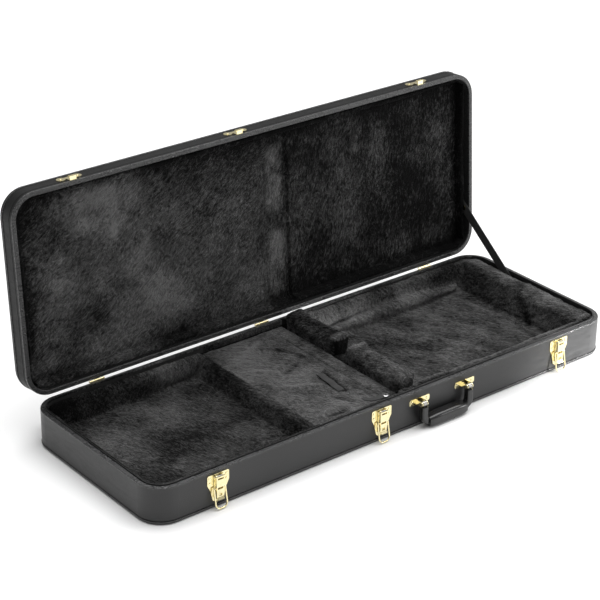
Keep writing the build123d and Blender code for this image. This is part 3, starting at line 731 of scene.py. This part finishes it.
def neck_support(materials):
    for name, seed in (("neck_block_front", 31), ("neck_block_back", 37)):
        lo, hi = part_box(name)
        obj = merged(name + "_plush", [name])
        obj.data.transform(Matrix.Translation(Vector((0.042, 0, 0))) @ Matrix.Diagonal((0.93, 1, 1, 1))
                           @ Matrix.Translation(Vector((-0.042, 0, 0))))
        remesh(obj, PAD_VOXEL)
        puff(obj, 5.0, 0.0055, lambda co: co[:, 2] < 0.012)
        relax(obj, 2)
        co = coords(obj)
        to_gap = 1.0 if hi.y < 0 else -1.0
        spare = (0.0002, 0.0055) if to_gap > 0 else (0.0055, 0.0002)
        co[:, 1] = np.clip(co[:, 1], lo.y - spare[0], hi.y + spare[1])
        co[:, 0] = np.clip(co[:, 0], lo.x - 0.0002, hi.x + 0.005)
        set_coords(obj, co)
        subdivide(obj)
        co = coords(obj)
        edge = hi.y if to_gap > 0 else lo.y
        fold = [(lo.x + 0.004, edge - 0.004 * to_gap, hi.z), (hi.x - 0.004, edge - 0.007 * to_gap, hi.z)]
        shaded_gutter = [(lo.x, edge - 0.020 * to_gap, hi.z), (hi.x, edge - 0.023 * to_gap, hi.z)]
        top = (co[:, 2] > hi.z - 0.006).astype(float)[:, None] * np.array([0.0, 0.0, 1.0])
        co = bump_along(co, top, fold, 0.008, 0.0030)
        co = bump_along(co, top, shaded_gutter, 0.006, -0.0030)
        set_coords(obj, co)
        tufted(obj, 0.0021, seed, (0.010, 0.010, 0.014), 0.3, keep=lambda c: c[:, 2] < 0.016)
        co = coords(obj)
        room = BLOCK_CLEAR - 0.0002 - hi.z
        over = np.maximum(co[:, 2] - hi.z, 0.0)
        co[:, 2] = np.minimum(co[:, 2], hi.z) + room * (1.0 - np.exp(-over / room))
        co[:, 1] = np.where(co[:, 2] > 0.064, np.minimum(co[:, 1], BLOCK_END - 0.0004), co[:, 1])
        set_coords(obj, co)
        nap_and_painted_light = 0.50 + 0.2 * octaves(co, 0.04, seed, 3)
        # painted highlight along the raised fold, painted shade in the sunk channel beside it and on the
        # side face towards the gap between the blocks
        nap_and_painted_light += 0.22 * np.exp(-(near_line(co, fold) / 0.009) ** 2)
        nap_and_painted_light -= 0.20 * np.exp(-(near_line(co, shaded_gutter) / 0.007) ** 2)
        nap_and_painted_light -= 0.30 * ((co[:, 1] - edge) * to_gap > -0.002) * (co[:, 2] < hi.z - 0.008)
        paint(obj, "nap_and_painted_light", nap_and_painted_light)
        dress(obj, materials["plush_base"], "base", [name])
    obj = merged("neck_cradle_plush", ["neck_cradle"])
    remesh(obj, 0.003)
    relax(obj, 3)
    tufted(obj, 0.0008, 41, keep=lambda c: c[:, 2] < 0.05)
    paint(obj, "nap_and_painted_light", np.full(len(obj.data.vertices), 0.30))
    dress(obj, materials["plush_base"], "base", ["neck_cradle"])


def accessory_parts(materials):
    nodes = ("accessory_lid_board",)
    lo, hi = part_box(nodes[0])
    obj = merged("accessory_lid_plush", nodes)
    # the cloth is drawn a little past the board so that it meets its neighbours without a gap
    middle = Vector(((lo.x + hi.x) / 2, 0.0, 0.0))
    spread = Matrix.Diagonal((1.0 + 0.0064 / (hi.x - lo.x), 1.0, 1.0, 1.0))
    obj.data.transform(Matrix.Translation(middle) @ spread @ Matrix.Translation(-middle))
    remesh(obj, 0.0026)
    puff(obj, 4.0, 0.0024, lambda co: co[:, 2] < hi.z - 0.0015)
    relax(obj, 1)
    subdivide(obj)
    co = coords(obj)
    top = (co[:, 2] > hi.z - 0.0012).astype(float)[:, None] * np.array([0.0, 0.0, 1.0])
    lit_ring = [(-0.112 + 0.030 * math.cos(a), -0.147 + 0.014 * math.sin(a), hi.z + 0.001)
            for a in np.linspace(0.3, 2 * math.pi, 22)]
    co = bump_along(co, top, lit_ring, 0.0035, 0.0050)
    co = bump_along(co, top, [(-0.122, -0.147, hi.z), (-0.100, -0.147, hi.z)], 0.007, -0.0024)
    # plain tone with a painted highlight on the raised loop and painted shade along its sunk middle
    nap_and_painted_light = np.full(len(co), 0.71) + 0.26 * np.exp(-(near_line(co, lit_ring) / 0.005) ** 2)
    nap_and_painted_light -= 0.30 * np.exp(-(near_line(co, [(-0.130, -0.147, hi.z), (-0.096, -0.147, hi.z)]) / 0.006) ** 2)
    for path, height in (
        ([(-0.05, 0.10, hi.z), (-0.03, 0.07, hi.z), (-0.028, 0.05, hi.z)], -0.0022),
        ([(-0.036, -0.02, hi.z), (-0.043, -0.06, hi.z), (-0.046, -0.09, hi.z)], -0.0026),
        ([(-0.09, 0.02, hi.z), (-0.06, 0.03, hi.z)], -0.0018),
        ([(-0.12, -0.02, hi.z), (-0.07, -0.05, hi.z)], 0.0020),
        ([(-0.13, 0.06, hi.z), (-0.10, 0.03, hi.z)], 0.0018),
        ([(-0.08, -0.10, hi.z), (-0.06, -0.13, hi.z)], -0.0020),
        ([(-0.10, 0.12, hi.z), (-0.06, 0.14, hi.z)], 0.0020),
    ):
        # painted light: each raised fold is painted lighter and each sunk one darker
        nap_and_painted_light += 120.0 * height * np.exp(-(near_line(co, path) / 0.006) ** 2)
        co = bump_along(co, top, path, 0.006, height)
    set_coords(obj, co)
    tufted(obj, 0.0008, 51, (0.020, 0.008, 0.010), -0.6, keep=lambda c: c[:, 2] < hi.z - 0.001)
    paint(obj, "nap_and_painted_light", nap_and_painted_light + 0.16 * octaves(coords(obj), 0.05, 5, 3))
    dress(obj, materials["plush_base"], "accessory_lid", nodes)

    nodes = ("accessory_ledge", "neck_divider")
    bridge = prism([(-0.0096, hi.z - 0.004), (0.0206, hi.z - 0.004), (0.0206, hi.z), (-0.0096, hi.z)],
                   -0.1722, 0.1722)
    obj = merged("accessory_ledge_plush", nodes, [bridge])
    remesh(obj, 0.0026)
    relax(obj, 1)
    strip = [(-0.1565, 0.0586), (0.0206, 0.0586), (0.0206, 0.0695), (-0.1565, 0.0695)]
    walls = [prism(strip, 0.1728, 0.1740), prism(strip, -0.1740, -0.1728)]
    obj = joined(obj, walls + rim_roll(-0.157, 0.021))
    tufted(obj, 0.0006, 57, keep=lambda c: ~inside_outline(c, LINING_EDGE) | (c[:, 2] < hi.z - 0.0012))
    paint(obj, "nap_and_painted_light", 0.62 + 0.16 * octaves(coords(obj), 0.05, 9, 3))
    dress(obj, materials["plush_base"], "base", nodes)

    nodes = ("accessory_floor_pad",)
    obj = merged("accessory_floor_plush", nodes)
    remesh(obj, 0.003)
    tufted(obj, 0.0005, 61, keep=lambda c: c[:, 2] < 0.0075)
    paint(obj, "nap_and_painted_light", 0.5 + 0.16 * octaves(coords(obj), 0.06, 9, 2))
    dress(obj, materials["plush_base"], "base", nodes)


def lid_lining(materials):
    """Worked with the lid shut, so that its planes lie level, then turned back open."""
    nodes = ("lid_panel_pad", "lid_wall_pads")
    obj = turn_about_hinge(merged("lid_lining", nodes), OPEN_ANGLE)
    remesh(obj, 0.0040)
    top = coords(obj)[:, 2].max()

    def held(co):
        return (co[:, 2] > top - 0.003) | ~inside_outline(co, LINING_EDGE) | (co[:, 0] > 0.4985)

    puff(obj, 4.0, 0.006, held)
    relax(obj, 2)
    subdivide(obj)
    co = coords(obj)
    down = np.array([0.0, 0.0, -1.0])
    face = ((co[:, 2] > top - 0.014) & (co[:, 2] < top - 0.003)).astype(float)[:, None]
    level = top - 0.008
    # the two marks that the neck blocks press into the pile
    for y0, y1 in ((-0.134, -0.009), (0.020, 0.148)):
        for x in (0.024, 0.064):
            co = bump_along(co, face * down, [(x, y0, level), (x, y1, level)], 0.005, 0.0016)
        co = bump_along(co, face * down, [(0.044, y0, level), (0.044, y1, level)], 0.014, -0.0030)
    set_coords(obj, co)
    tufted(obj, 0.0012, 71, (0.020, 0.009, 0.012), 0.7,
           keep=lambda c: ~inside_outline(c, LINING_EDGE) | (c[:, 2] > top - 0.003))
    co = coords(obj)
    over_block = (co[:, 0] > 0.017) & (co[:, 0] < 0.073)
    for y0, y1 in ((-0.155, -0.002), (0.016, 0.166)):
        pressed = over_block & (co[:, 1] > y0) & (co[:, 1] < y1) & (co[:, 2] > top - 0.020)
        co[:, 2] = np.where(pressed, np.maximum(co[:, 2], BLOCK_CLEAR), co[:, 2])
    beside = over_block & (co[:, 1] > 0.158) & (co[:, 2] < BLOCK_CLEAR)
    co[:, 1] = np.where(beside, np.maximum(co[:, 1], BLOCK_END + 0.0003), co[:, 1])
    set_coords(obj, co)
    nap_and_painted_light = 0.53 + 0.16 * octaves(co, 0.07, 13, 3) - 0.12 * np.clip((co[:, 0] + 0.05) / 0.2, 0.0, 1.0)
    nap_and_painted_light += 0.20 * np.exp(-((near_line(co, [(-0.44, 0.13, level), (-0.25, 0.13, level)]) / 0.07) ** 2))
    ragged = 0.75 + 0.55 * octaves(co, 0.022, 19, 2)
    for start, end, size, amount in (
        ((-0.376, -0.139), (-0.268, -0.134), 0.030, 0.16),
        ((-0.350, -0.110), (-0.310, -0.090), 0.050, 0.34),
        ((-0.290, -0.070), (-0.250, -0.035), 0.020, 0.26), ((-0.256, 0.022), (-0.180, 0.102), 0.036, 0.26),
        ((-0.416, -0.032), (-0.420, 0.013), 0.030, 0.22), ((-0.100, -0.010), (-0.080, 0.010), 0.045, 0.12),
        ((-0.040, 0.080), (-0.015, 0.092), 0.040, 0.12), ((-0.440, 0.086), (-0.400, 0.090), 0.050, -0.20),
        ((-0.220, 0.154), (-0.180, 0.154), 0.030, -0.22),
        ((-0.125, -0.080), (-0.110, -0.065), 0.045, -0.18),
        ((0.160, -0.100), (0.200, -0.095), 0.060, -0.14), ((0.395, 0.000), (0.410, 0.030), 0.060, -0.14),
        ((0.340, 0.105), (0.360, 0.110), 0.060, -0.14),
    ):
        line = [(start[0], start[1], level), (end[0], end[1], level)]
        nap_and_painted_light += amount * ragged * np.exp(-((near_line(co, line) / size) ** 2))
    for y0, y1 in ((-0.124, -0.028), (0.040, 0.138)):
        mark = near_line(co, [(0.044, y0, level), (0.044, y1, level)])
        nap_and_painted_light += 0.33 * ragged * np.exp(-(mark / 0.017) ** 4)
    # painted shade: the pile is darkened on and near the walls, towards the corners they make with the
    # panel
    from_wall = np.minimum(0.5044 - np.abs(co[:, 0]), 0.1739 - np.abs(co[:, 1]))
    nap_and_painted_light -= 0.22 * np.exp(-((np.maximum(from_wall, 0.0) / 0.024) ** 2))
    paint(obj, "nap_and_painted_light", nap_and_painted_light)
    turn_about_hinge(obj, -OPEN_ANGLE)
    dress(obj, materials["plush_lid"], "lid", nodes)


# ---- straps, ribbon, tab ----
def band(name, path, across, width, thick):
    """Flat tape of real thickness along a path; across gives its width direction at each point."""
    rows = []
    pts = [Vector(p) for p in path]
    for i, p in enumerate(pts):
        ahead = (pts[min(i + 1, len(pts) - 1)] - pts[max(i - 1, 0)]).normalized()
        side = Vector(across[i]).normalized() if isinstance(across, list) else Vector(across).normalized()
        out = ahead.cross(side).normalized()
        steps = [(-0.5, 0.25), (-0.46, 0.5), (0, 0.5), (0.46, 0.5), (0.5, 0.25),
                 (0.5, -0.25), (0.46, -0.5), (0, -0.5), (-0.46, -0.5), (-0.5, -0.25)]
        rows.append([p + side * (u * width) + out * (v * thick) for u, v in steps])
    m = len(rows[0])
    verts = [v for row in rows for v in row]
    faces = [(i * m + k, i * m + (k + 1) % m, (i + 1) * m + (k + 1) % m, (i + 1) * m + k)
             for i in range(len(rows) - 1) for k in range(m)]
    last = (len(rows) - 1) * m
    faces += [tuple(reversed(range(m))), tuple(range(last, last + m))]
    obj = mesh_object(name, verts, faces)
    bm = bmesh.new()
    bm.from_mesh(obj.data)
    bmesh.ops.recalc_face_normals(bm, faces=bm.faces)
    bm.to_mesh(obj.data)
    bm.free()
    return smooth(obj)


def stay_strap(materials):
    start, end = Vector((0.5022, 0.066, 0.053)), Vector((0.5022, 0.203, 0.160))
    run = (end - start).normalized()
    a, b = start - run * 0.011, end + run * 0.011
    count = 60
    path = [a.lerp(b, i / count) for i in range(count + 1)]
    side = Vector((0, -run.z, run.y))
    obj = band("stay_strap_web", path, side, 0.020, 0.0016)
    obj.data.materials.append(materials["webbing"])
    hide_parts("stay_strap")
    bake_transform(obj)


def ribbon_and_tab(materials):
    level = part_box("pull_ribbon")[0].z + 0.0034
    path = []
    for i in range(25):
        t = i / 24
        bow = 0.0010 * math.sin(math.pi * t) + 0.0006 * math.sin(5 * math.pi * t)
        path.append((-0.0470 - 0.0085 * t, -0.0210 - 0.071 * t, level + bow))
    obj = band("pull_ribbon_tape", path, (0.99, -0.12, 0.05), 0.0125, 0.0009)
    obj.data.materials.append(materials["ribbon"])
    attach(obj, "accessory_lid")
    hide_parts("pull_ribbon")

    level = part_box("snap_tab")[0].z + 0.0016
    route = [(-0.0405, -0.1300), (-0.0400, -0.1380), (-0.0370, -0.1450), (-0.0300, -0.1485),
             (-0.0200, -0.1500), (-0.0100, -0.1500), (-0.0040, -0.1500), (0.0050, -0.1495)]
    path, across = [], []
    for i, (x, y) in enumerate(route):
        path.append((x, y, level + 0.0012 * math.sin(math.pi * i / (len(route) - 1))))
    for i in range(len(route)):
        j, k = max(i - 1, 0), min(i + 1, len(route) - 1)
        dx, dy = route[k][0] - route[j][0], route[k][1] - route[j][1]
        across.append((-dy, dx, 0.0))
    obj = subdivide(band("snap_tab_strap", path, across, 0.012, 0.0016))
    obj.data.materials.append(materials["ribbon"])
    smooth(obj)
    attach(obj, "accessory_lid")
    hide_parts("snap_tab")


# ---- stitching ----
def outline_points(inset, spacing):
    """Evenly spaced (x, y, heading) round the case's rounded outline, moved in by inset."""
    half_x, half_y, radius = HALF_LENGTH - inset, HALF_WIDTH - inset, CORNER - inset
    pts = []
    corners = ((half_x, -half_y, -90), (half_x, half_y, 0), (-half_x, half_y, 90), (-half_x, -half_y, 180))
    for x, y, start in corners:
        cx, cy = x - math.copysign(radius, x), y - math.copysign(radius, y)
        for k in range(13):
            a = math.radians(start + 90 * k / 12)
            pts.append((cx + radius * math.cos(a), cy + radius * math.sin(a)))
    pts.append(pts[0])
    out, carry = [], 0.0
    for (x0, y0), (x1, y1) in zip(pts[:-1], pts[1:]):
        length = math.hypot(x1 - x0, y1 - y0)
        while carry < length:
            t = carry / length
            out.append((x0 + (x1 - x0) * t, y0 + (y1 - y0) * t, math.atan2(y1 - y0, x1 - x0)))
            carry += spacing
        carry -= length
    return out


def stitch_row(name, z, inset, material):
    """Row of thread stitches sunk half into the lid's cover, at height z when the lid is shut."""
    rings, segments = 4, 6
    ball, faces = [], []
    for i in range(rings + 1):
        tilt = math.pi * i / rings
        for k in range(segments):
            a = 2 * math.pi * k / segments
            ball.append((-math.cos(tilt) * 0.0017, math.sin(tilt) * math.cos(a) * 0.00042,
                         math.sin(tilt) * math.sin(a) * 0.00045))
    for i in range(rings):
        for k in range(segments):
            a, b = i * segments + k, i * segments + (k + 1) % segments
            faces.append((a, b, b + segments, a + segments))
    ball = np.array(ball)
    verts, quads = [], []
    for number, (x, y, heading) in enumerate(outline_points(inset, 0.0046)):
        c, s = math.cos(heading), math.sin(heading)
        turned = np.column_stack((c * ball[:, 0] - s * ball[:, 1], s * ball[:, 0] + c * ball[:, 1],
                                  ball[:, 2]))
        verts.append(turned + (x, y, z))
        quads += [tuple(v + number * len(ball) for v in face) for face in faces]
    obj = mesh_object(name, np.vstack(verts), quads)
    bm = bmesh.new()
    bm.from_mesh(obj.data)
    bmesh.ops.remove_doubles(bm, verts=bm.verts, dist=1e-6)
    bmesh.ops.recalc_face_normals(bm, faces=bm.faces)
    bm.to_mesh(obj.data)
    bm.free()
    turn_about_hinge(obj, -OPEN_ANGLE)
    obj.data.materials.append(material)
    smooth(obj)
    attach(obj, "lid")
    return obj


# ---- stage, light and camera ----
def make_stage():
    bpy.ops.mesh.primitive_circle_add(vertices=96, radius=40.0, fill_type="NGON", location=(0, 0, 0))
    floor = bpy.context.object
    floor.name = "studio_floor"
    g = Graph("studio_floor")
    g.set("Base Color", g.mix(g.noise(0.8, 3.0), grey(0.86), grey(0.88)))
    g.set("Roughness", 0.9)
    g.set("Specular IOR Level", 0.1)
    floor.data.materials.append(g.material)
    world = bpy.data.worlds.new("studio")
    bpy.context.scene.world = world
    world.use_nodes = True
    world.node_tree.nodes["Background"].inputs["Color"].default_value = (1.0, 1.0, 1.0, 1.0)
    world.node_tree.nodes["Background"].inputs["Strength"].default_value = 0.42


def area_light(name, place, target, size, power):
    data = bpy.data.lights.new(name, "AREA")
    data.shape = "RECTANGLE"
    data.size, data.size_y = size
    data.energy = power
    obj = link(bpy.data.objects.new(name, data))
    obj.location = place
    obj.rotation_euler = (Vector(target) - Vector(place)).to_track_quat("-Z", "Y").to_euler()
    return obj


def make_camera():
    data = bpy.data.cameras.new("camera")
    data.sensor_width = 36.0
    data.lens = 118.0
    camera = link(bpy.data.objects.new("camera", data))
    azimuth, elevation, roll = (math.radians(a) for a in (-38.8253, 26.1394, 0.6439))
    back = Vector((math.sin(azimuth) * math.cos(elevation), -math.cos(azimuth) * math.cos(elevation),
                   math.sin(elevation)))
    right = Vector((0, 0, 1)).cross(back).normalized()
    up = back.cross(right)
    right, up = (math.cos(roll) * right + math.sin(roll) * up, math.cos(roll) * up - math.sin(roll) * right)
    turn = Matrix((right, up, back)).transposed().to_4x4()
    camera.matrix_world = Matrix.Translation((-1.9929, -2.3823, 1.7078)) @ turn
    data.clip_end = 200.0
    bpy.context.scene.camera = camera


def main():
    make_camera()
    materials = make_materials()
    finish_nodes(materials)
    headstock_lining(materials)
    body_lining(materials)
    neck_support(materials)
    accessory_parts(materials)
    lid_lining(materials)
    stay_strap(materials)
    ribbon_and_tab(materials)
    stitch_row("lid_stitches", LID_WELT_Z - 0.0032, -0.0001, materials["welt"])
    make_stage()
    sun = bpy.data.lights.new("overhead", "SUN")
    sun.energy = 3.4
    sun.angle = math.radians(64.0)
    sky = link(bpy.data.objects.new("overhead", sun))
    sky.rotation_euler = (-Vector((0.25, 0.15, 1.0))).to_track_quat("-Z", "Y").to_euler()
    area_light("right_key", (2.4, -1.9, 0.9), (0.35, -0.18, 0.05), (0.9, 0.9), 30.0)
    kick = bpy.data.lights.new("front_kick", "SPOT")
    kick.energy = 1500.0
    kick.spot_size = math.radians(5.0)
    kick.spot_blend = 1.0
    kick.shadow_soft_size = 0.05
    spot = link(bpy.data.objects.new("front_kick", kick))
    spot.location = (2.4, -1.9, 0.25)
    spot.rotation_euler = (Vector((0.44, -0.18, 0.0)) - spot.location).to_track_quat("-Z", "Y").to_euler()
    scene = bpy.context.scene
    scene.view_settings.view_transform = "Standard"


main()
